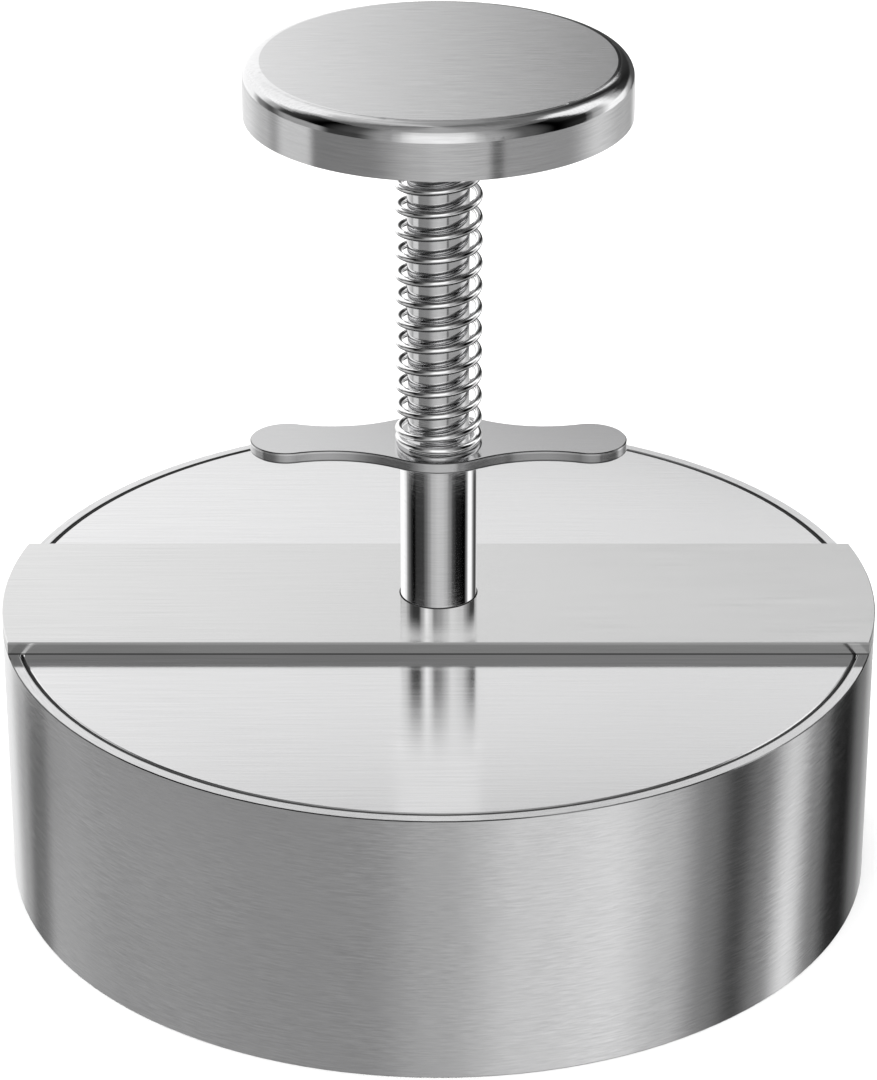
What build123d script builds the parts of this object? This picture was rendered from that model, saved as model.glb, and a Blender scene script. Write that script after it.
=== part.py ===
"""Patty press in stainless steel: a ring mould with a spring-returned plunger.

A plain ring stands on its lower edge. A flat bridge bar crosses the top of the ring and carries a
guide tube on the ring's axis, and a finger plate with two lobes caps the tube. A rod slides in the
tube: below the bar it carries the press plate that fills the ring, and above the finger plate it
carries a round knob. A compression spring between the finger plate and the knob holds the press
plate up against the underside of the bar. Fingers pull up on the lobes while the palm pushes the
knob down, and the press plate travels down the ring.

Millimetres, +Z up, the origin at the centre of the ring's lower edge. The bar runs along X.
"""

import os
from math import cos, hypot, radians, sin, sqrt

from build123d import *

# ---- driving dimensions ----
RING_DIAMETER = 115.0
RING_WALL = 1.5
RING_HEIGHT = 36.5
BAR_WIDTH = 29.2
BAR_THICKNESS = 1.8
TUBE_DIAMETER = 10.0
TUBE_TOP = 59.1
ROD_DIAMETER = 8.0
FINGER_PLATE_THICKNESS = 1.5
PRESS_PLATE_THICKNESS = 2.0
PRESS_PLATE_GAP = 0.45
KNOB_DIAMETER = 49.0
KNOB_UNDERSIDE = 105.4
KNOB_HEIGHT = 7.0

# ---- running and seating clearances, on the radius ----
ROD_CLEARANCE = 0.075
FINGER_HOLE_CLEARANCE = 0.1
TUBE_SEAT_CLEARANCE = 0.1
SPIGOT_CLEARANCE = 0.02
BASE_SEAT_CLEARANCE = 0.02
THREAD_CLEARANCE = 0.05

# ---- edge breaks ----
SHEET_EDGE = 0.12
PLATE_EDGE = 0.12
TUBE_EDGE = 0.3
ROD_EDGE = 0.4

# ---- finger plate outline: an arc at the middle, a hollow waist, and a round lobe at each end ----
LOBE_REACH = 24.45
LOBE_RADIUS = 4.75
MIDDLE_HALF_WIDTH = 7.9
MIDDLE_RADIUS = 9.3
WAIST_RADIUS = 16.7

# ---- return spring: each end lies flat, then opens out to the active pitch ----
WIRE_DIAMETER = 1.0
SPRING_DIAMETER = 11.3
SPRING_PITCH = 3.07
CLOSED_TURN_RISE = 1.03
FLAT_TURNS = 0.25
END_GAP = 0.03
SPRING_START_ANGLE = 180.0
POINTS_PER_TURN = 12

# ---- knob shell, its base and the thin M6 nut that holds the rod ----
KNOB_FILLET = 2.2
KNOB_WALL = 1.2
BASE_RECESS = 0.5
BASE_THICKNESS = 1.5
THREAD_DIAMETER = 6.0
NUT_ACROSS_FLATS = 10.0
NUT_HEIGHT = 3.2
SPIGOT_DIAMETER = 5.0

# ---- places worked out from the driving dimensions ----
RING_RADIUS = RING_DIAMETER / 2
RING_BORE_RADIUS = RING_RADIUS - RING_WALL
PRESS_PLATE_RADIUS = RING_BORE_RADIUS - PRESS_PLATE_GAP
PRESS_PLATE_TOP = RING_HEIGHT
PRESS_PLATE_UNDERSIDE = PRESS_PLATE_TOP - PRESS_PLATE_THICKNESS
TUBE_RADIUS = TUBE_DIAMETER / 2
ROD_RADIUS = ROD_DIAMETER / 2
SPIGOT_RADIUS = SPIGOT_DIAMETER / 2
THREAD_RADIUS = THREAD_DIAMETER / 2
KNOB_RADIUS = KNOB_DIAMETER / 2
KNOB_TOP = KNOB_UNDERSIDE + KNOB_HEIGHT
FINGER_PLATE_TOP = TUBE_TOP + FINGER_PLATE_THICKNESS
BASE_UNDERSIDE = KNOB_UNDERSIDE + BASE_RECESS
BASE_TOP = BASE_UNDERSIDE + BASE_THICKNESS
NUT_TOP = BASE_TOP + NUT_HEIGHT
COIL_RADIUS = (SPRING_DIAMETER - WIRE_DIAMETER) / 2


def between_circles(first, first_reach, second, second_reach):
    """The upper point that lies first_reach from first and second_reach from second."""
    (ax, ay), (bx, by) = first, second
    gap = hypot(bx - ax, by - ay)
    along = (first_reach**2 - second_reach**2 + gap**2) / (2 * gap)
    across = sqrt(first_reach**2 - along**2)
    ux, uy = (bx - ax) / gap, (by - ay) / gap
    return ax + along * ux - across * uy, ay + along * uy + across * ux


def towards(start, end, distance):
    """The point at that distance from start, on the way to end."""
    share = distance / hypot(end[0] - start[0], end[1] - start[1])
    return start[0] + share * (end[0] - start[0]), start[1] + share * (end[1] - start[1])


os.makedirs("parts", exist_ok=True)

# ---- ring mould: a plain band, its edges broken ----
with BuildPart() as ring_mould:
    with BuildSketch():
        Circle(RING_RADIUS)
        Circle(RING_BORE_RADIUS, mode=Mode.SUBTRACT)
    extrude(amount=RING_HEIGHT)
    chamfer(ring_mould.edges().filter_by(GeomType.CIRCLE), SHEET_EDGE)
ring_mould.part.label = "ring_mould"

# ---- bridge bar: flat strip across the rim, its ends cut to the ring's curve ----
with BuildPart() as bridge_bar:
    with BuildSketch(Plane.XY.offset(RING_HEIGHT)):
        Rectangle(RING_DIAMETER, BAR_WIDTH)
        Circle(RING_RADIUS, mode=Mode.INTERSECT)
    extrude(amount=BAR_THICKNESS)
    chamfer(bridge_bar.edges().group_by(Axis.Z)[-1], SHEET_EDGE)
    with Locations((0, 0, RING_HEIGHT + BAR_THICKNESS)):
        Hole(TUBE_RADIUS + TUBE_SEAT_CLEARANCE, depth=BAR_THICKNESS)
bridge_bar.part.label = "bridge_bar"

# ---- guide tube: stands in the bar's hole and carries the finger plate ----
with BuildPart() as guide_tube:
    with BuildSketch(Plane.XY.offset(RING_HEIGHT)):
        Circle(TUBE_RADIUS)
        Circle(ROD_RADIUS + ROD_CLEARANCE, mode=Mode.SUBTRACT)
    extrude(amount=TUBE_TOP - RING_HEIGHT)
    chamfer(guide_tube.edges().group_by(Axis.Z)[-1].sort_by(SortBy.RADIUS)[-1], TUBE_EDGE)
guide_tube.part.label = "guide_tube"

# ---- finger plate: one quarter of the outline, mirrored twice ----
middle_centre = (0, MIDDLE_HALF_WIDTH - MIDDLE_RADIUS)
lobe_centre = (LOBE_REACH - LOBE_RADIUS, 0)
waist_centre = between_circles(
    middle_centre, MIDDLE_RADIUS + WAIST_RADIUS, lobe_centre, LOBE_RADIUS + WAIST_RADIUS
)
middle_end = towards(middle_centre, waist_centre, MIDDLE_RADIUS)
lobe_start = towards(lobe_centre, waist_centre, LOBE_RADIUS)
with BuildPart() as finger_plate:
    with BuildSketch(Plane.XY.offset(TUBE_TOP)):
        with BuildLine():
            RadiusArc((0, MIDDLE_HALF_WIDTH), middle_end, MIDDLE_RADIUS)
            RadiusArc(middle_end, lobe_start, -WAIST_RADIUS)
            RadiusArc(lobe_start, (LOBE_REACH, 0), LOBE_RADIUS)
            mirror(about=Plane.YZ)
            mirror(about=Plane.XZ)
        make_face()
    extrude(amount=FINGER_PLATE_THICKNESS)
    chamfer(finger_plate.edges().filter_by(Plane.XY), SHEET_EDGE)
    with Locations((0, 0, FINGER_PLATE_TOP)):
        Hole(ROD_RADIUS + FINGER_HOLE_CLEARANCE, depth=FINGER_PLATE_THICKNESS)
finger_plate.part.label = "finger_plate"

# ---- plunger rod: spigot for the press plate, sliding shank, thread for the knob ----
with BuildPart() as plunger_rod:
    with BuildSketch(Plane.XY.offset(PRESS_PLATE_UNDERSIDE)):
        Circle(SPIGOT_RADIUS)
    extrude(amount=PRESS_PLATE_THICKNESS)
    with BuildSketch(Plane.XY.offset(PRESS_PLATE_TOP)):
        Circle(ROD_RADIUS)
    extrude(amount=BASE_UNDERSIDE - PRESS_PLATE_TOP)
    chamfer(plunger_rod.edges().filter_by(GeomType.CIRCLE).group_by(Axis.Z)[-1], ROD_EDGE)
    with BuildSketch(Plane.XY.offset(BASE_UNDERSIDE)):
        Circle(THREAD_RADIUS)
    extrude(amount=NUT_TOP - BASE_UNDERSIDE)
    chamfer(plunger_rod.edges().filter_by(GeomType.CIRCLE).group_by(Axis.Z)[-1], ROD_EDGE)
plunger_rod.part.label = "plunger_rod"

# ---- press plate: the disc that fills the ring, welded on the rod's spigot ----
with BuildPart() as press_plate:
    with BuildSketch(Plane.XY.offset(PRESS_PLATE_UNDERSIDE)):
        Circle(PRESS_PLATE_RADIUS)
    extrude(amount=PRESS_PLATE_THICKNESS)
    chamfer(press_plate.edges().filter_by(GeomType.CIRCLE), PLATE_EDGE)
    with Locations((0, 0, PRESS_PLATE_TOP)):
        Hole(SPIGOT_RADIUS + SPIGOT_CLEARANCE, depth=PRESS_PLATE_THICKNESS)
press_plate.part.label = "press_plate"

# ---- return spring: right-hand coil, closed against itself at both ends ----
opening_turns = SPRING_PITCH * (1 - FLAT_TURNS) ** 2 / (2 * CLOSED_TURN_RISE)
wire_bottom = FINGER_PLATE_TOP + END_GAP + WIRE_DIAMETER / 2
wire_top = BASE_UNDERSIDE - END_GAP - WIRE_DIAMETER / 2
spring_turns = 2 * FLAT_TURNS + opening_turns + (wire_top - wire_bottom) / SPRING_PITCH


def end_rise(turns):
    """How far the wire has climbed from an end of the spring after that many turns."""
    opened = min(max(turns - FLAT_TURNS, 0), opening_turns)
    past = max(turns - FLAT_TURNS - opening_turns, 0)
    return SPRING_PITCH * (opened**2 / (2 * opening_turns) + past)


def wire_point(turns):
    """The centre of the wire after that many turns from the bottom end."""
    if turns < spring_turns / 2:
        height = wire_bottom + end_rise(turns)
    else:
        height = wire_top - end_rise(spring_turns - turns)
    angle = radians(SPRING_START_ANGLE + 360 * turns)
    return COIL_RADIUS * cos(angle), COIL_RADIUS * sin(angle), height


steps = round(spring_turns * POINTS_PER_TURN)
with BuildPart() as return_spring:
    with BuildLine() as wire_path:
        Spline(*[wire_point(spring_turns * step / steps) for step in range(steps + 1)])
    wire = wire_path.edges()[0]
    with BuildSketch(Plane(origin=wire @ 0, z_dir=wire % 0)):
        Circle(WIRE_DIAMETER / 2)
    sweep(path=wire, is_frenet=True)
return_spring.part.label = "return_spring"

# ---- knob: drawn shell, round base pressed into it, thin nut welded on the base ----
with BuildPart() as knob_cap:
    with BuildSketch(Plane.XY.offset(KNOB_UNDERSIDE)):
        Circle(KNOB_RADIUS)
    extrude(amount=KNOB_HEIGHT)
    fillet(knob_cap.edges().group_by(Axis.Z)[-1], KNOB_FILLET)
    with BuildSketch(Plane.XY.offset(KNOB_UNDERSIDE)):
        Circle(KNOB_RADIUS - KNOB_WALL)
    extrude(amount=KNOB_HEIGHT - KNOB_WALL, mode=Mode.SUBTRACT)
    inner_corner = knob_cap.edges().filter_by(GeomType.CIRCLE).filter_by_position(
        Axis.Z, KNOB_TOP - KNOB_WALL, KNOB_TOP - KNOB_WALL
    )
    fillet(inner_corner, KNOB_FILLET - KNOB_WALL)
knob_cap.part.label = "knob_cap"

with BuildPart() as knob_base:
    with BuildSketch(Plane.XY.offset(BASE_UNDERSIDE)):
        Circle(KNOB_RADIUS - KNOB_WALL - BASE_SEAT_CLEARANCE)
        Circle(THREAD_RADIUS + THREAD_CLEARANCE, mode=Mode.SUBTRACT)
    extrude(amount=BASE_THICKNESS)
knob_base.part.label = "knob_base"

with BuildPart() as knob_nut:
    with BuildSketch(Plane.XY.offset(BASE_TOP)):
        RegularPolygon(NUT_ACROSS_FLATS / 2, 6, major_radius=False)
        Circle(THREAD_RADIUS + THREAD_CLEARANCE, mode=Mode.SUBTRACT)
    extrude(amount=NUT_HEIGHT)
knob_nut.part.label = "knob_nut"

for piece in (
    ring_mould, bridge_bar, guide_tube, finger_plate, plunger_rod, press_plate,
    return_spring, knob_cap, knob_base, knob_nut,
):
    export_step(piece.part, f"parts/{piece.part.label}.step")
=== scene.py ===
"""The looks of the stainless steel patty press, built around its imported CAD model."""

from math import cos, pi, radians, sin

import bpy
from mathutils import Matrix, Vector
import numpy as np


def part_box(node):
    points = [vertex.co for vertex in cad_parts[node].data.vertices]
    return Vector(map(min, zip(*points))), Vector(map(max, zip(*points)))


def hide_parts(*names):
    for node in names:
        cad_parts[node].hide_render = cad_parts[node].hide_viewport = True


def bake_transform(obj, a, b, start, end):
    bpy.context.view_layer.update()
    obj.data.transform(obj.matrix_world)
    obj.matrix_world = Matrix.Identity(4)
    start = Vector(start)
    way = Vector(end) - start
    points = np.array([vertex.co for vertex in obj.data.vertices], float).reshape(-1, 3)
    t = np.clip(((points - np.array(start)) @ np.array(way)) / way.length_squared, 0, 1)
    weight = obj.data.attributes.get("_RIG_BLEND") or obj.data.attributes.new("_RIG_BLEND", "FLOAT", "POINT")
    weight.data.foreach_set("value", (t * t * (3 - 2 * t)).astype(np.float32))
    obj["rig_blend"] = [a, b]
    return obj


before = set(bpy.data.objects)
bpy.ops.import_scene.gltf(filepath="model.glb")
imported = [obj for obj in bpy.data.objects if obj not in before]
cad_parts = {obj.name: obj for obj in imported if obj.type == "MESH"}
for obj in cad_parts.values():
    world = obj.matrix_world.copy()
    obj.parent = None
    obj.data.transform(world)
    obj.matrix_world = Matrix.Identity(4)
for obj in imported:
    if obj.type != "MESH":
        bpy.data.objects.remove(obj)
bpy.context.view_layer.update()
MM = 0.001

# ---- camera: looks down at the press from the front, square to the bridge bar ----
CAMERA_PITCH = radians(26.0)
CAMERA_DISTANCE = 521.4 * MM
CAMERA_TARGET_HEIGHT = 45.9 * MM
CAMERA_LENS = 132.2

# ---- studio: what the steel mirrors, as bands stacked by height. Each band gives its start in degrees
# above the horizon, how softly it starts, and (compass direction, brightness) pairs. Direction 0 is the
# camera's side, 90 its right, 180 behind the press and 270 the camera's left ----
STUDIO_BANDS = (
    (-90, 1, ((0, 0.10), (60, 0.06), (120, 0.10), (180, 0.12), (240, 0.10), (300, 0.08), (360, 0.10))),
    (-44, 1, (  # seen in the ring's wall
        (0, 0.54), (24, 0.83), (46, 0.96), (62, 0.68), (75, 0.28), (85, 0.08), (95, 0.30), (106, 1.08),
        (117, 0.27), (129, 0.03), (138, 0.02), (150, 0.22), (163, 0.52), (180, 0.98), (202, 0.90),
        (214, 0.46), (223, 0.19), (229, 0.26), (236, 0.52), (270, 0.42), (340, 0.37), (360, 0.54),
    )),
    (-30, 1.5, (  # seen in the upper half of the ring's wall, towards its two sides
        (0, 0.54), (24, 0.95), (46, 1.10), (62, 0.72), (75, 0.29), (85, 0.07), (95, 0.21), (108, 0.82),
        (118, 0.27), (129, 0.02), (138, 0.01), (150, 0.22), (163, 0.52), (180, 0.98), (202, 0.95),
        (216, 0.46), (225, 0.17), (231, 0.15), (238, 0.34), (250, 0.42), (340, 0.37), (360, 0.54),
    )),
    (-27.4, 0.3, (  # seen in the tube
        (0, 0.62), (12, 0.60), (22, 0.50), (34, 0.27), (46, 0.06), (57, 0.01), (86, 0.0), (95, 0.25),
        (103, 1.15), (110, 1.35), (119, 1.0), (129, 0.24), (140, 0.05), (152, 0.14), (163, 0.65),
        (180, 1.0), (230, 1.20), (243, 0.95), (254, 0.30), (262, 0.12), (272, 0.02), (280, 0.0),
        (292, 0.04), (312, 0.05), (322, 0.16), (332, 0.32), (342, 0.52), (360, 0.62),
    )),
    (-24.8, 0.3, (  # seen in the knob's side and in the rod
        (0, 0.62), (28, 0.55), (33, 0.16), (36, 0.16), (40, 0.40), (80, 0.38), (108, 0.80), (135, 0.56),
        (152, 0.48), (165, 0.86), (180, 1.00), (210, 0.92), (238, 0.62), (248, 0.44), (258, 0.76),
        (277, 0.76), (284, 0.26), (318, 0.28), (350, 0.56), (360, 0.62),
    )),
    (-14, 1, (  # seen low in the knob's rounded edge
        (0, 1.20), (12, 1.15), (30, 0.50), (52, 0.12), (70, 0.0), (90, 0.03), (104, 0.60), (116, 1.35),
        (130, 1.25), (142, 0.45), (152, 0.10), (173, 0.08), (187, 1.24), (200, 1.24), (226, 1.24),
        (238, 0.30), (250, 0.10), (264, 0.42), (286, 0.42), (296, 0.05), (312, 0.06), (330, 0.40),
        (348, 1.12), (360, 1.20),
    )),
    (5, 3, (  # seen higher in the knob's edge and, towards the back, in its top
        (0, 1.20), (12, 1.15), (30, 0.50), (52, 0.12), (70, 0.0), (92, 0.02), (104, 0.50), (116, 1.25),
        (126, 0.60), (136, 0.05), (150, 0.02), (165, 0.04), (173, 0.08), (187, 1.24), (200, 1.24),
        (234, 1.24), (248, 0.55), (260, 0.05), (288, 0.0), (310, 0.08), (330, 0.40), (348, 1.12),
        (360, 1.20),
    )),
    (22.2, 0.3, (  # seen in the finger plate
        (0, 1.15), (14, 1.10), (30, 0.45), (52, 0.12), (70, 0.0), (90, 0.04), (100, 1.00), (116, 1.25),
        (130, 0.35), (142, 0.02), (160, 0.08), (169, 0.18), (191, 1.20), (240, 1.30), (254, 0.60),
        (266, 0.05), (288, 0.0), (310, 0.08), (330, 0.40), (348, 1.10), (360, 1.15),
    )),
    (24.3, 0.3, (  # seen in the back of the press plate
        (0, 1.10), (14, 1.05), (30, 0.45), (52, 0.12), (70, 0.0), (90, 0.04), (100, 1.10), (118, 1.30),
        (134, 0.30), (144, 0.02), (157, 0.04), (166, 1.10), (174, 1.28), (190, 1.22), (240, 1.30),
        (254, 0.60), (266, 0.05), (288, 0.0), (310, 0.08), (330, 0.40), (346, 1.05), (360, 1.10),
    )),
    (25.7, 0.9, (  # seen in the bar and in the front of the press plate
        (0, 1.10), (14, 1.05), (30, 0.45), (52, 0.12), (70, 0.0), (90, 0.04), (100, 1.10), (118, 1.30),
        (134, 0.30), (144, 0.02), (157, 0.04), (166, 0.90), (173, 1.06), (196, 1.12), (240, 1.30),
        (254, 0.60), (266, 0.05), (288, 0.0), (310, 0.08), (330, 0.40), (346, 1.05), (360, 1.10),
    )),
    (30.5, 0.5, (  # from here up, higher than any flat top mirrors in the photograph
        (0, 1.00), (14, 0.95), (30, 0.45), (52, 0.12), (70, 0.0), (88, 0.04), (98, 1.20), (122, 1.30),
        (138, 0.15), (150, 0.02), (160, 0.05), (172, 0.20), (182, 0.45), (190, 0.95), (205, 1.20),
        (248, 1.25), (258, 0.60), (268, 0.06), (288, 0.0), (310, 0.08), (330, 0.40), (346, 0.95),
        (360, 1.00),
    )),
    (46, 3, (
        (0, 0.52), (40, 0.35), (70, 0.15), (88, 0.15), (98, 1.15), (116, 1.25), (130, 0.30), (142, 0.12),
        (160, 0.10), (180, 0.45), (192, 0.90), (210, 1.20), (245, 1.20), (262, 0.45), (285, 0.15),
        (310, 0.22), (335, 0.42), (360, 0.52),
    )),
    (57, 4, (
        (0, 0.52), (40, 0.35), (90, 0.20), (140, 0.20), (180, 0.42), (215, 0.75), (250, 0.60), (290, 0.20),
        (320, 0.30), (360, 0.52),
    )),
)
STUDIO_GAIN = 1.5  # a ramp's colours are brightness divided by this, and the light is multiplied by it
FLOOR_REACH = 12  # metres, past the picture's edges

# ---- what the bar and, further up, the press plate mirror of the tube: (degrees round from the front,
# brightness) ----
FOOT_STRIPES = (
    (-90, 0.85), (-60, 0.74), (-53, 0.42), (-46, 0.10), (-40, 0.05), (-31, 0.05), (-25, 0.50), (-18, 1.15),
    (-12, 0.85), (-6, 0.32), (2, 0.42), (12, 0.66), (20, 0.92), (38, 0.76), (45, 0.45), (51, 0.24),
    (58, 0.07), (68, 0.06), (76, 0.70), (90, 0.85),
)
TUBE_STRIPES = (
    (-90, 0.85), (-60, 0.74), (-51, 0.40), (-44, 0.04), (-38, 0.0), (-30, 0.0), (-25, 0.50), (-18, 1.20),
    (-12, 0.80), (-5, 0.17), (2, 0.25), (12, 0.56), (20, 0.92), (38, 0.76), (46, 0.50), (54, 0.24),
    (62, 0.02), (74, 0.0), (82, 0.60), (90, 0.85),
)

# ---- sizes read off the CAD model that the frame's boxes don't give, in millimetres ----
RING_WALL = 1.5
KNOB_EDGE_RADIUS = 2.2

# ---- steel: how often the brushing's strength and the colour vary, per millimetre; how deep the brushing
# is; how wide the painted highlight line along the top and the painted shade line along the bottom of a
# cut edge are, in millimetres; and the slopes that count as a broken edge, in degrees ----
PATCHES = 0.11
CLOUDS = 0.035
BRUSHING_DEPTH = 0.02 * MM
TOP_HIGHLIGHT_LINE = 0.35
BOTTOM_SHADE_LINE = 0.25
BROKEN_EDGE = (26, 72)

# ---- cards: how far one stands off the face it stands for, how steeply the camera looks down at the bar's
# front edge (rise over run), and a reach past the whole press ----
CARD_OFFSET = 0.02 * MM
SIGHT_SLOPE = 0.52
UNLIMITED = 1000 * MM


def make_camera():
    """The photograph's viewpoint."""
    data = bpy.data.cameras.new("camera")
    data.lens = CAMERA_LENS
    data.clip_start, data.clip_end = 0.01, 50
    camera = bpy.data.objects.new("camera", data)
    bpy.context.scene.collection.objects.link(camera)
    back = Vector((0, -cos(CAMERA_PITCH), sin(CAMERA_PITCH)))
    camera.location = Vector((0, 0, CAMERA_TARGET_HEIGHT)) + back * CAMERA_DISTANCE
    camera.rotation_euler = (pi / 2 - CAMERA_PITCH, 0, 0)
    bpy.context.scene.camera = camera


class Graph:
    """A node tree with short calls for adding, wiring and doing sums."""

    def __init__(self, tree):
        self.nodes, self.links = tree.nodes, tree.links

    def add(self, kind, inputs=None, **settings):
        """A new node, its settings set and its inputs given as values or as other nodes' outputs."""
        node = self.nodes.new(kind)
        for name, value in settings.items():
            setattr(node, name, value)
        for name, value in (inputs or {}).items():
            if isinstance(value, bpy.types.NodeSocket):
                self.links.new(value, node.inputs[name])
            else:
                node.inputs[name].default_value = value
        return node

    def sum(self, operation, *values):
        """The result of one Math node."""
        node = self.add("ShaderNodeMath", dict(enumerate(values)), operation=operation)
        return node.outputs[0]

    def ramp(self, value, stops, interpolation="EASE"):
        """The colour of a ramp whose stops are (position, brightness)."""
        node = self.add("ShaderNodeValToRGB", {"Fac": value})
        node.color_ramp.interpolation = interpolation
        elements = node.color_ramp.elements
        while len(elements) < len(stops):
            elements.new(1.0)
        for element, (position, brightness) in zip(elements, stops):
            element.position = position
            element.color = (brightness, brightness, brightness, 1)
        return node.outputs["Color"]

    def span(self, value, low, high, to_low=0.0, to_high=1.0):
        """Eases from to_low to to_high as the value goes from low to high."""
        inputs = {"Value": value, 1: low, 2: high, 3: to_low, 4: to_high}
        return self.add("ShaderNodeMapRange", inputs, interpolation_type="SMOOTHSTEP").outputs[0]

    def mix(self, share, first, second):
        """A blend of two colours."""
        node = self.add("ShaderNodeMix", {0: share, 6: first, 7: second}, data_type="RGBA")
        return node.outputs[2]


def make_world():
    """Soft panels and dark gaps round the press, which show as bands in the steel."""
    world = bpy.data.worlds.new("studio")
    bpy.context.scene.world = world
    world.use_nodes = True
    world.node_tree.nodes.clear()
    g = Graph(world.node_tree)
    direction = g.add("ShaderNodeTexCoord").outputs["Generated"]
    x, y, z = g.add("ShaderNodeSeparateXYZ", {0: direction}).outputs
    compass = g.sum("ARCTAN2", x, g.sum("MULTIPLY", y, -1.0))
    share = g.sum("FRACT", g.sum("MULTIPLY", compass, 0.5 / pi))
    height = g.sum("MULTIPLY", g.sum("ARCSINE", z), 180 / pi)
    panels = None
    for start, softness, stops in STUDIO_BANDS:
        placed = [(angle / 360, brightness / STUDIO_GAIN) for angle, brightness in stops]
        band = g.ramp(share, placed)
        if panels is None:
            panels = band
        else:
            panels = g.mix(g.span(height, start - softness, start + softness), panels, band)
    seen = g.add("ShaderNodeLightPath").outputs["Is Camera Ray"]
    strength = g.sum("MULTIPLY_ADD", seen, 1.0 - STUDIO_GAIN, STUDIO_GAIN)
    colour = g.mix(seen, panels, (1, 1, 1, 1))
    background = g.add("ShaderNodeBackground", {"Color": colour, "Strength": strength})
    output = g.add("ShaderNodeOutputWorld")
    g.links.new(background.outputs[0], output.inputs["Surface"])


def make_floor():
    """A plain pale floor, which the steel doesn't mirror."""
    mesh = bpy.data.meshes.new("floor")
    far = FLOOR_REACH
    mesh.from_pydata([(-far, -far, 0), (far, -far, 0), (far, far, 0), (-far, far, 0)], [], [(0, 1, 2, 3)])
    floor = bpy.data.objects.new("floor", mesh)
    bpy.context.scene.collection.objects.link(floor)
    material = bpy.data.materials.new("floor")
    material.use_nodes = True
    shader = material.node_tree.nodes["Principled BSDF"]
    shader.inputs["Base Color"].default_value = (0.9, 0.9, 0.9, 1)
    shader.inputs["Roughness"].default_value = 0.9
    shader.inputs["Specular IOR Level"].default_value = 0.0
    mesh.materials.append(material)
    floor.visible_glossy = False


def make_sun():
    """Soft even light from above, for the floor's sake."""
    data = bpy.data.lights.new("overhead", "SUN")
    data.energy = 4.0
    data.angle = radians(90)
    lamp = bpy.data.objects.new("overhead", data)
    lamp.rotation_euler = (radians(12), 0, 0)
    lamp.visible_glossy = False
    bpy.context.scene.collection.objects.link(lamp)


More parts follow.
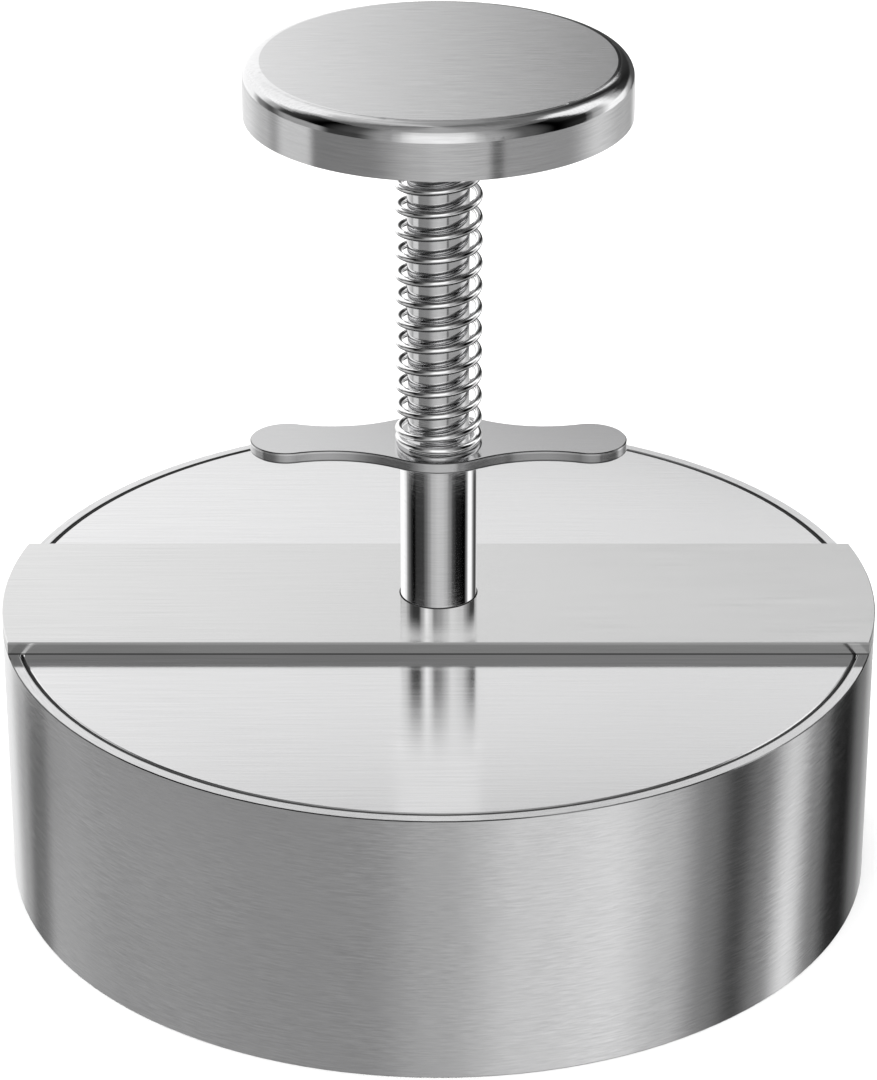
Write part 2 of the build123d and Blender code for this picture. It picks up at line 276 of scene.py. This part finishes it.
# ---- steels ----
class Steel:
    """Brushed stainless steel, with sizes in millimetres. The brushing runs along X where it's straight,
    round the press's axis where it's round, and straight on tops but round on walls where it's both. Its
    lines have a length and a width, stand out by their depth and vary the colour by their streaks."""

    def __init__(
        self, name, colour, rough, brushed="straight", length=4.0, width=0.2, depth=0.5, streaks=0.06
    ):
        self.material = bpy.data.materials.new(name)
        self.material.use_nodes = True
        g = self.graph = Graph(self.material.node_tree)
        self.shader = g.nodes["Principled BSDF"]
        self.shader.inputs["Metallic"].default_value = 1.0
        metres = g.add("ShaderNodeTexCoord").outputs["Object"]
        scaled = g.add("ShaderNodeVectorMath", {0: metres, "Scale": 1 / MM}, operation="SCALE")
        self.place = scaled.outputs[0]
        self.x, self.y, self.z = g.add("ShaderNodeSeparateXYZ", {0: self.place}).outputs
        flat = g.add("ShaderNodeCombineXYZ", {0: self.x, 1: self.y})
        from_axis = g.add("ShaderNodeVectorMath", {0: flat.outputs[0]}, operation="LENGTH")
        self.radius = from_axis.outputs["Value"]
        at = self.brushed_place(brushed, length, width)
        fine = g.add("ShaderNodeTexNoise", {"Vector": at, "Scale": 1.0, "Detail": 4.0, "Roughness": 0.6})
        patch = g.add("ShaderNodeTexNoise", {"Vector": self.place, "Scale": PATCHES, "Detail": 2.0})
        cloud = g.add("ShaderNodeTexNoise", {"Vector": self.place, "Scale": CLOUDS, "Detail": 1.0})
        lines = fine.outputs[0]
        uneven = g.span(patch.outputs[0], 0.3, 0.7, 0.6, 1.4)
        swing = g.sum("MULTIPLY", g.sum("SUBTRACT", lines, 0.5), uneven)
        value = g.sum("MULTIPLY_ADD", swing, streaks * 6, 1.0)
        value = g.sum("MULTIPLY_ADD", g.sum("SUBTRACT", cloud.outputs[0], 0.5), streaks, value)
        tint = g.add("ShaderNodeVectorMath", {0: colour, "Scale": value}, operation="SCALE")
        self.tint = tint.outputs[0]
        self.rough = g.sum("MULTIPLY_ADD", swing, rough * 0.8, rough)
        bump = g.add("ShaderNodeBump", {"Strength": depth, "Distance": BRUSHING_DEPTH, "Height": lines})
        self.normal = bump.outputs[0]

    def brushed_place(self, brushed, length, width):
        """Where the brushing is read: it changes over the line's length one way and its width the other."""
        g = self.graph
        scale = (1 / length, 1 / width, 1 / width)
        straight = g.add("ShaderNodeVectorMath", {0: self.place, 1: scale}, operation="MULTIPLY").outputs[0]
        across = g.sum("MULTIPLY", g.sum("ADD", self.radius, self.z), 1 / width)
        sides = [g.sum("MULTIPLY", value, 1 / length) for value in (self.x, self.y)]
        round_axis = g.add("ShaderNodeCombineXYZ", {0: sides[0], 1: sides[1], 2: across}).outputs[0]
        if brushed == "straight":
            return straight
        if brushed == "round":
            return round_axis
        wall = g.span(self.upward(), 0.6, 0.4)
        return g.add("ShaderNodeMix", {0: wall, 4: straight, 5: round_axis}, data_type="VECTOR").outputs[1]

    def upward(self):
        """How far the surface faces up: 1 on a flat top, 0 on a wall."""
        normal = self.graph.add("ShaderNodeNewGeometry").outputs["Normal"]
        return self.graph.add("ShaderNodeSeparateXYZ", {0: normal}).outputs[2]

    def band(self, value, low, high):
        """1 where the value is between low and high, 0 outside."""
        middle, half = (low + high) / 2, (high - low) / 2
        return self.graph.sum("COMPARE", value, middle, half)

    def slope(self, gentle, steep):
        """1 where the surface lies between two slopes, in degrees off level, 0 outside."""
        return self.band(self.upward(), cos(radians(steep)), cos(radians(gentle)))

    def paint_shading(self, share, factor):
        """Paints shade where factor is under 1 and a highlight where it is over 1: multiplies the colour by
        factor where share is 1.
        """
        g = self.graph
        amount = g.sum("MULTIPLY_ADD", share, factor - 1.0, 1.0)
        tint = g.add("ShaderNodeVectorMath", {0: self.tint, "Scale": amount}, operation="SCALE")
        self.tint = tint.outputs[0]

    def paint_gap_shade(self, share, factor):
        """Painted shade, as deep in a gap: without shine where share is 1, and its colour multiplied by
        factor.
        """
        self.paint_shading(share, factor)
        matt = self.graph.sum("SUBTRACT", 1.0, share)
        self.graph.links.new(matt, self.shader.inputs["Metallic"])
        self.shader.inputs["Specular IOR Level"].default_value = 0.0

    def line(self, from_z, to_z, factor, share=1.0):
        """A painted line round the walls between two heights: shade where factor is under 1, a highlight
        where it is over 1; its colour is multiplied by factor where share is 1.
        """
        wall = self.graph.sum("MULTIPLY", self.graph.span(self.upward(), 0.3, 0.1), share)
        self.paint_shading(self.graph.sum("MULTIPLY", wall, self.band(self.z, from_z, to_z)), factor)

    def smooth(self, share, rough):
        """Takes the roughness to this value where share is 1."""
        g = self.graph
        gap = g.sum("SUBTRACT", rough, self.rough)
        self.rough = g.sum("MULTIPLY_ADD", gap, share, self.rough)

    def grain(self, across, strength):
        """Stretches the gloss across the brushing: across is the direction square to the lines."""
        g = self.graph
        self.shader.inputs["Anisotropic"].default_value = strength
        tangent = g.add("ShaderNodeCombineXYZ", dict(enumerate(across)))
        g.links.new(tangent.outputs[0], self.shader.inputs["Tangent"])

    def finish(self):
        """Wires what was built into the shader."""
        for value, socket in ((self.tint, "Base Color"), (self.rough, "Roughness"), (self.normal, "Normal")):
            self.graph.links.new(value, self.shader.inputs[socket])
        return self.material


def ring_steel():
    """The cut edges carry painted dark reflection lines, except a stretch right of the middle, and the top of
    the bore, beside the press plate, is painted black as shade deep in the gap."""
    steel = Steel(
        "ring_steel", (0.66, 0.66, 0.665), 0.12, brushed="round", length=2.5, width=0.22, streaks=0.08,
        depth=0.12,
    )
    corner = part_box("ring_mould")[1] / MM
    bore = corner.x - RING_WALL
    # painted dark reflection along the broken edges, left out over a stretch right of the middle
    edge = steel.slope(*BROKEN_EDGE)
    left, right = steel.graph.span(steel.x, 16.0, 8.0), steel.graph.span(steel.x, 32.0, 46.0)
    steel.paint_shading(steel.graph.sum("MULTIPLY", edge, steel.graph.sum("MAXIMUM", left, right)), 0.15)
    # painted shade: the top of the bore, beside the press plate, is black as deep in the gap
    inside = steel.graph.span(steel.radius, bore + 0.3, bore + 0.05)
    near_top = steel.graph.span(steel.z, corner.z - 1.2, corner.z - 0.9)
    steel.paint_gap_shade(steel.graph.sum("MULTIPLY", inside, near_top), 0.15)
    return steel.finish()


def bar_steel():
    """The bar's edges carry painted shade, darker than its top, with a painted shade line along their bottom
    and a painted highlight line along their top; the narrow gap round the tube's foot is painted black as
    shade.
    """
    steel = Steel("bar_steel", (0.68, 0.68, 0.68), 0.14, length=14.0, width=0.4, streaks=0.045, depth=0.15)
    low, high = [corner.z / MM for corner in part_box("bridge_bar")]
    # painted shade on the walls
    steel.paint_shading(steel.graph.span(steel.upward(), 0.3, 0.1), 0.5)
    # painted shade line along the bottom of the walls
    steel.line(low, low + BOTTOM_SHADE_LINE, 0.3)
    # painted highlight line along the top of the walls
    steel.line(high - TOP_HIGHLIGHT_LINE, high, 1.3)
    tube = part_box("guide_tube")[1].x / MM
    # painted shade: black in the gap round the tube's foot
    steel.paint_gap_shade(steel.graph.span(steel.radius, tube + 0.2, tube + 0.14), 0.05)
    steel.grain((0, 1, 0), 0.5)
    return steel.finish()


def tube_steel():
    """Polished, with a painted black shade line at its foot, where it enters the bar."""
    steel = Steel("tube_steel", (0.84, 0.84, 0.845), 0.035, brushed="round", depth=0.06, streaks=0.035)
    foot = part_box("bridge_bar")[1].z / MM
    # painted shade where the tube's foot enters the bar
    steel.paint_gap_shade(steel.graph.span(steel.z, foot + 0.16, foot + 0.1), 0.05)
    return steel.finish()


def finger_plate_steel():
    """A painted dark reflection line edges the top, with a painted highlight line under it, and a painted
    shade line the bottom. The edge carries a painted highlight in front of the spring, and painted shade over
    the plate grows from left to right."""
    steel = Steel(
        "finger_plate_steel", (0.57, 0.57, 0.575), 0.12, length=8.0, width=0.3, streaks=0.025, depth=0.1
    )
    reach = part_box("finger_plate")[1].x / MM
    low, high = [corner.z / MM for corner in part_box("finger_plate")]
    # painted shade, growing from left to right
    steel.paint_shading(steel.graph.span(steel.x, -reach, reach), 0.74)
    # painted dark reflection along the broken edge
    steel.paint_shading(steel.slope(*BROKEN_EDGE), 0.3)
    # painted shade line along the bottom
    steel.line(low, low + BOTTOM_SHADE_LINE, 0.4)
    # painted highlight line along the top
    steel.line(high - TOP_HIGHLIGHT_LINE, high, 1.45)
    # painted highlight on the edge in front of the spring
    middle = steel.graph.span(steel.graph.sum("ABSOLUTE", steel.x), 4.4, 2.6)
    steel.line(low + BOTTOM_SHADE_LINE, high - TOP_HIGHLIGHT_LINE, 1.45, middle)
    return steel.finish()


def rod_steel():
    """Ground round the rod."""
    steel = Steel(
        "rod_steel", (0.80, 0.80, 0.805), 0.08, brushed="round", length=2.0, streaks=0.04, depth=0.1
    )
    return steel.finish()


def plate_steel():
    """The plate's rim is painted dark as shade in its gap."""
    steel = Steel("plate_steel", (0.73, 0.73, 0.735), 0.12, length=14.0, width=0.45, streaks=0.05, depth=0.15)
    # painted shade: the rim's wall is black as deep in the gap
    steel.paint_gap_shade(steel.graph.span(steel.upward(), 0.4, 0.2), 0.15)
    steel.grain((0, 1, 0), 0.4)
    return steel.finish()


def knob_steel():
    """Brushed on top and round the side, with a polished rounded edge between. Where that edge meets the
    top it carries painted shade from the middle rightwards, and at the right a little further down too."""
    steel = Steel(
        "knob_steel", (0.70, 0.70, 0.705), 0.12, brushed="both", length=5.0, width=0.22, streaks=0.06,
        depth=0.3,
    )
    g = steel.graph
    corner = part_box("knob_cap")[1] / MM
    start_out, start_up = corner.x - KNOB_EDGE_RADIUS, corner.z - KNOB_EDGE_RADIUS
    outward = g.span(steel.radius, start_out - 0.1, start_out + 0.1)
    up = g.span(steel.z, start_up - 0.1, start_up + 0.1)
    steel.smooth(g.sum("MULTIPLY", outward, up), 0.05)
    # painted shade where the rounded edge meets the top, from the middle rightwards
    rightwards = g.span(steel.x, -12.0, 0.0)
    steel.paint_shading(g.sum("MULTIPLY", rightwards, steel.slope(1.4, 6.0)), 0.4)
    # painted shade a little further down the rounded edge, at the right
    at_right = g.span(steel.x, 4.0, 14.0)
    steel.paint_shading(g.sum("MULTIPLY", at_right, steel.slope(6.0, 9.9)), 0.35)
    top = g.span(steel.upward(), 0.4, 0.6)
    steel.grain((0, top, g.sum("SUBTRACT", 1.0, top)), 0.5)
    return steel.finish()


def hidden_steel(name):
    """A duller steel for what is under the knob."""
    return Steel(name, (0.60, 0.60, 0.605), 0.3, brushed="round").finish()


def spring_steel():
    """Polished wire, with painted shade along its underside except in the lowest turns."""
    steel = Steel("spring_steel", (0.90, 0.90, 0.905), 0.03, length=1.0, width=0.4, depth=0.03, streaks=0.01)
    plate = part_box("finger_plate")[1].z / MM
    clear_of_plate = steel.graph.span(steel.z, plate + 1.5, plate + 3.0)
    # painted shade on the wire's underside, which faces the dark below
    underside = steel.graph.span(steel.upward(), 0.05, -0.45)
    steel.paint_shading(steel.graph.sum("MULTIPLY", underside, clear_of_plate), 0.42)
    return steel.finish()


STEELS = {
    "ring_mould": ring_steel(),
    "bridge_bar": bar_steel(),
    "guide_tube": tube_steel(),
    "finger_plate": finger_plate_steel(),
    "plunger_rod": rod_steel(),
    "press_plate": plate_steel(),
    "knob_cap": knob_steel(),
    "knob_base": hidden_steel("knob_base_steel"),
    "knob_nut": hidden_steel("nut_steel"),
    "return_spring": spring_steel(),
}
NOT_MIRRORED = ("ring_mould", "bridge_bar", "guide_tube", "press_plate", "finger_plate")


def finish_cad_nodes():
    """Gives every node of the frame its steel."""
    for name, material in STEELS.items():
        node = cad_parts[name]
        node.data.materials.clear()
        node.data.materials.append(material)
        node.visible_glossy = name not in NOT_MIRRORED


# ---- return spring: a finer coil than the CAD's, which closes up evenly when the knob is pressed. It opens
# from nearly closed turns at each end ----
WIRE_RADIUS = 0.5 * MM
SPRING_PITCH = 3.07 * MM
FLAT_TURNS = 0.25
CLOSED_TURN_RISE = 1.03 * MM
WIRE_SIDES = 16
STEPS_PER_TURN = 48


def wire_centres():
    """The centre of the wire at every step from the bottom end to the top end."""
    low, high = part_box("return_spring")
    coil_radius = (high.x - low.x) / 2 - WIRE_RADIUS
    bottom, top = low.z + WIRE_RADIUS, high.z - WIRE_RADIUS
    opening = SPRING_PITCH * (1 - FLAT_TURNS) ** 2 / (2 * CLOSED_TURN_RISE)
    turns = 2 * FLAT_TURNS + opening + (top - bottom) / SPRING_PITCH

    def rise(turn):
        opened = min(max(turn - FLAT_TURNS, 0), opening)
        past = max(turn - FLAT_TURNS - opening, 0)
        return SPRING_PITCH * (opened**2 / (2 * opening) + past)

    steps = round(turns * STEPS_PER_TURN)
    centres = []
    for step in range(steps + 1):
        turn = turns * step / steps
        height = bottom + rise(turn) if turn < turns / 2 else top - rise(turns - turn)
        angle = pi + 2 * pi * turn
        centres.append(Vector((coil_radius * cos(angle), coil_radius * sin(angle), height)))
    return centres, turns


def wire_mesh(centres):
    """A round wire along the centres, closed at both ends."""
    points, faces = [], []
    last = len(centres) - 1
    for step, centre in enumerate(centres):
        along = (centres[min(step + 1, last)] - centres[max(step - 1, 0)]).normalized()
        outward = Vector((centre.x, centre.y, 0)).normalized()
        upward = outward.cross(along)
        for side in range(WIRE_SIDES):
            angle = 2 * pi * side / WIRE_SIDES
            points.append(centre + WIRE_RADIUS * (cos(angle) * outward + sin(angle) * upward))
    for step in range(last):
        for side in range(WIRE_SIDES):
            here, there = step * WIRE_SIDES + side, step * WIRE_SIDES + (side + 1) % WIRE_SIDES
            faces.append((here, here + WIRE_SIDES, there + WIRE_SIDES, there))
    faces.append(tuple(range(WIRE_SIDES)))
    faces.append(tuple(reversed(range(last * WIRE_SIDES, (last + 1) * WIRE_SIDES))))
    mesh = bpy.data.meshes.new("spring_coil")
    mesh.from_pydata(points, [], faces)
    mesh.shade_smooth()
    return mesh


def make_spring():
    """The coil: its end turns stay closed, and the turns between share the travel."""
    centres, turns = wire_centres()
    spring = bpy.data.objects.new("spring_coil", wire_mesh(centres))
    bpy.context.scene.collection.objects.link(spring)
    spring.data.materials.append(STEELS["return_spring"])
    low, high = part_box("return_spring")
    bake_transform(spring, "frame", "spring", (0, 0, low.z), (0, 0, high.z))
    weights = spring.data.attributes["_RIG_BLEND"].data
    for step in range(len(centres)):
        turn = turns * step / (len(centres) - 1)
        weight = min(max((turn - 1) / (turns - 2), 0), 1)
        for side in range(WIRE_SIDES):
            weights[step * WIRE_SIDES + side].value = weight
    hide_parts("return_spring")


def make_card(name, rings):
    """A wall that only the steel's reflections see, in place of the pieces they would mirror close by."""
    mesh = bpy.data.meshes.new(name)
    count = len(rings[0])
    points = [point for ring in rings for point in ring]
    faces = []
    for start in range(0, count * (len(rings) - 1), count):
        for i in range(start, start + count - 1):
            faces.append((i, i + 1, i + 1 + count, i + count))
    mesh.from_pydata(points, [], faces)
    mesh.shade_smooth()
    card = bpy.data.objects.new(name, mesh)
    bpy.context.scene.collection.objects.link(card)
    for seen_by in ("camera", "diffuse", "transmission", "volume_scatter", "shadow"):
        setattr(card, f"visible_{seen_by}", False)
    return card


def paint_card(card, stripes, fade_from=1.0, fade_to=2.0, backdrop=None, reach=UNLIMITED):
    """Glows in upright stripes, fades between two heights, to the backdrop if any, and is clear from behind
    and from further off than its reach."""
    material = bpy.data.materials.new(card.name)
    material.use_nodes = True
    material.node_tree.nodes.clear()
    g = Graph(material.node_tree)
    place = g.add("ShaderNodeTexCoord").outputs["Object"]
    x, y, height = g.add("ShaderNodeSeparateXYZ", {0: place}).outputs
    compass = g.sum("ARCTAN2", x, g.sum("MULTIPLY", y, -1.0))
    share = g.sum("MULTIPLY_ADD", compass, 0.5 / pi, 0.5)
    placed = [(angle / 360 + 0.5, brightness / STUDIO_GAIN) for angle, brightness in stripes]
    colour = g.ramp(share, placed)
    fade = g.span(height, fade_from, fade_to)
    see_through = g.add("ShaderNodeNewGeometry").outputs["Backfacing"]
    if backdrop is None:
        see_through = g.sum("MAXIMUM", fade, see_through)
    else:
        level = backdrop / STUDIO_GAIN
        colour = g.mix(fade, colour, (level, level, level, 1))
    distance = g.add("ShaderNodeLightPath").outputs["Ray Length"]
    see_through = g.sum("MAXIMUM", g.sum("GREATER_THAN", distance, reach), see_through)
    glow = g.add("ShaderNodeEmission", {"Color": colour, "Strength": STUDIO_GAIN})
    clear = g.add("ShaderNodeBsdfTransparent")
    shader = g.add("ShaderNodeMixShader", {0: see_through, 1: glow.outputs[0], 2: clear.outputs[0]})
    output = g.add("ShaderNodeOutputMaterial")
    g.links.new(shader.outputs[0], output.inputs["Surface"])
    card.data.materials.append(material)


def plain(brightness):
    """A card of one brightness."""
    return ((-180, brightness), (180, brightness))


def compass_points(start, end, steps=72):
    """Angles in radians, 0 along +X, between two compass directions."""
    return [radians(start + (end - start) * step / steps - 90) for step in range(steps + 1)]


def make_bar_cards():
    """The bar's long edges, mirrored in the press plate. The cards stop 1 mm short of the bar's ends."""
    low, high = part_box("bridge_bar")
    front = ((-180, 0.195), (180, 0.255))
    for name, side, stripes in (("bar_front_card", -1, front), ("bar_back_card", 1, plain(0.21))):
        end = -side * (high.x - 1 * MM)
        edge = side * (high.y - CARD_OFFSET)
        rings = [[(-end, edge, z), (end, edge, z)] for z in (low.z, high.z)]
        paint_card(make_card(name, rings), stripes)


def make_tube_cards():
    """The tube, mirrored in the bar and again, further up, in the press plate; it fades with distance. The
    split between the two is what the camera sees at the bar's front edge."""
    bar_low, bar_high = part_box("bridge_bar")
    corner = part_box("guide_tube")[1]
    foot, top, radius = bar_high.z, corner.z, corner.x
    wall = [(radius * cos(a), radius * sin(a)) for a in compass_points(-80, 80)]
    bottom_edge = [(x, y, foot) for x, y in wall]
    split_edge = [(x, y, foot + SIGHT_SLOPE * (y - bar_low.y)) for x, y in wall]
    top_edge = [(x, y, top) for x, y in wall]
    foot_card = make_card("tube_foot_card", [bottom_edge, split_edge])
    paint_card(foot_card, FOOT_STRIPES, fade_from=foot + 1.6 * MM, fade_to=foot + 6.2 * MM, backdrop=1.0)
    upper_card = make_card("tube_card", [split_edge, top_edge])
    paint_card(upper_card, TUBE_STRIPES, fade_from=foot + 5.4 * MM, fade_to=top - 0.4 * MM, backdrop=0.97)
    wall = [(radius * cos(a), radius * sin(a)) for a in compass_points(80, 280)]
    back_card = make_card("tube_back_card", [[(x, y, z) for x, y in wall] for z in (foot, top)])
    paint_card(back_card, plain(0.4), fade_from=foot, fade_to=foot + 12 * MM)


def make_rim_cards():
    """The rim and its gap beside the bar, mirrored in the bar's front edge at its two ends."""
    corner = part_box("ring_mould")[1]
    height = corner.z + CARD_OFFSET
    bore = corner.x - RING_WALL * MM
    rim, gap = (corner.x, bore), (bore, bore - 0.5 * MM)
    left, right = compass_points(-76, -66), compass_points(66, 76)
    cards = (("left_rim", left, rim, 0.42), ("left_gap", left, gap, 1.30))
    cards += (("right_rim", right, rim, 0.90), ("right_gap", right, gap, 0.10))
    for name, turns, radii, brightness in cards:
        rings = [[(r * cos(a), r * sin(a), height) for a in turns] for r in radii]
        paint_card(make_card(name, rings), plain(brightness), reach=12 * MM)


def make_finger_plate_card():
    """The finger plate's top at the left, mirrored in the spring's lowest turns."""
    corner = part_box("finger_plate")[1]
    height = corner.z + CARD_OFFSET
    turns = compass_points(-150, -45)
    rings = [[(r * cos(a), r * sin(a), height) for a in turns] for r in (corner.y, 4.2 * MM)]
    paint_card(make_card("finger_plate_card", rings), plain(0.85), reach=4 * MM)


def make_spring_card():
    """A plain backdrop that keeps the spring's foot out of what the press plate mirrors."""
    low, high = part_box("finger_plate")
    radius = high.y + CARD_OFFSET
    edge = [(radius * cos(a), radius * sin(a)) for a in compass_points(-45, 45)]
    rings = [[(x, y, z) for x, y in edge] for z in (low.z - 3.5 * MM, high.z + 9 * MM)]
    paint_card(make_card("spring_foot_card", rings), plain(0.96))


make_camera()
make_world()
make_bar_cards()
make_tube_cards()
make_rim_cards()
make_finger_plate_card()
make_spring_card()
make_floor()
make_sun()
finish_cad_nodes()
make_spring()
bpy.context.scene.view_settings.view_transform = "Standard"
